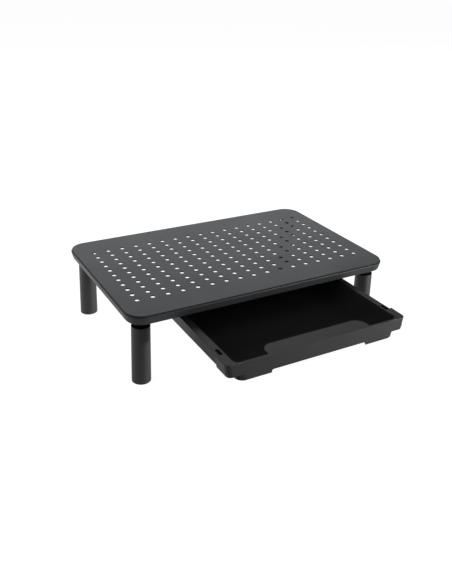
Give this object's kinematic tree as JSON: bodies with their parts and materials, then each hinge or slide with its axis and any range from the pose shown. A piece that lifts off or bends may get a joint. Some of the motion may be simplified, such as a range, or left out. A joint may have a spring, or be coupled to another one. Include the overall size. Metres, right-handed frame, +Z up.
{
  "type": "monitor riser stand",
  "caption": "Perforated rectangular monitor riser on four round telescopic legs, with a shallow pull-out drawer hung under the platform.",
  "frame": {"origin": "on the desk surface, at the middle of the space the stand takes up with its drawer pulled out; the platform centre is 53 mm behind it", "axes": "+X to the right seen from the front, +Y to the back, +Z up; the drawer opens towards -Y"},
  "size_m": [0.3692, 0.3406, 0.096],
  "materials": {
    "sheet_steel": "textured black powder coat, satin",
    "rim_plastic": "fine-grained black moulding",
    "neck_steel": "smooth black coating, satin",
    "sleeve_plastic": "matt black moulding",
    "drawer_plastic": "matt black moulding with a fine grain",
    "rail_plastic": "plain black moulding",
    "zinc_steel": "zinc plated",
    "black_rubber": "matt"
  },
  "bodies": {
    "front_left_foot": {"front_left_sleeve": "sleeve_plastic", "front_left_detent_ring": "zinc_steel", "front_left_foot_pad": "black_rubber"},
    "platform": {"top_sheet": "sheet_steel", "edge_rim": "rim_plastic", "corner_weld_nuts": "zinc_steel", "right_rail": "rail_plastic", "left_rail": "rail_plastic", "rail_screws": "zinc_steel", "rail_weld_nuts": "zinc_steel", "front_left_neck": "neck_steel", "front_left_stud": "zinc_steel", "front_right_neck": "neck_steel", "front_right_stud": "zinc_steel", "rear_left_neck": "neck_steel", "rear_left_stud": "zinc_steel", "rear_right_neck": "neck_steel", "rear_right_stud": "zinc_steel"},
    "front_right_foot": {"front_right_sleeve": "sleeve_plastic", "front_right_detent_ring": "zinc_steel", "front_right_foot_pad": "black_rubber"},
    "rear_left_foot": {"rear_left_sleeve": "sleeve_plastic", "rear_left_detent_ring": "zinc_steel", "rear_left_foot_pad": "black_rubber"},
    "rear_right_foot": {"rear_right_sleeve": "sleeve_plastic", "rear_right_detent_ring": "zinc_steel", "rear_right_foot_pad": "black_rubber"},
    "drawer": {"drawer_tray": "drawer_plastic"}
  },
  "joints": [
    {"name": "height_slide", "type": "slide", "parent": "front_left_foot", "child": "platform", "axis": [0, 0, 1], "range_m": [0, 0.04]},
    {"name": "front_right_leg_slide", "type": "slide", "parent": "platform", "child": "front_right_foot", "axis": [0, 0, -1], "range_m": [0, 0.04]},
    {"name": "rear_left_leg_slide", "type": "slide", "parent": "platform", "child": "rear_left_foot", "axis": [0, 0, -1], "range_m": [0, 0.04]},
    {"name": "rear_right_leg_slide", "type": "slide", "parent": "platform", "child": "rear_right_foot", "axis": [0, 0, -1], "range_m": [0, 0.04]},
    {"name": "drawer_slide", "type": "slide", "parent": "platform", "child": "drawer", "axis": [0, -1, 0], "range_m": [-0.106, 0]}
  ],
  "couplings": [
    {"joint": "front_right_leg_slide", "follows": "height_slide", "ratio": 1},
    {"joint": "rear_left_leg_slide", "follows": "height_slide", "ratio": 1},
    {"joint": "rear_right_leg_slide", "follows": "height_slide", "ratio": 1}
  ]
}
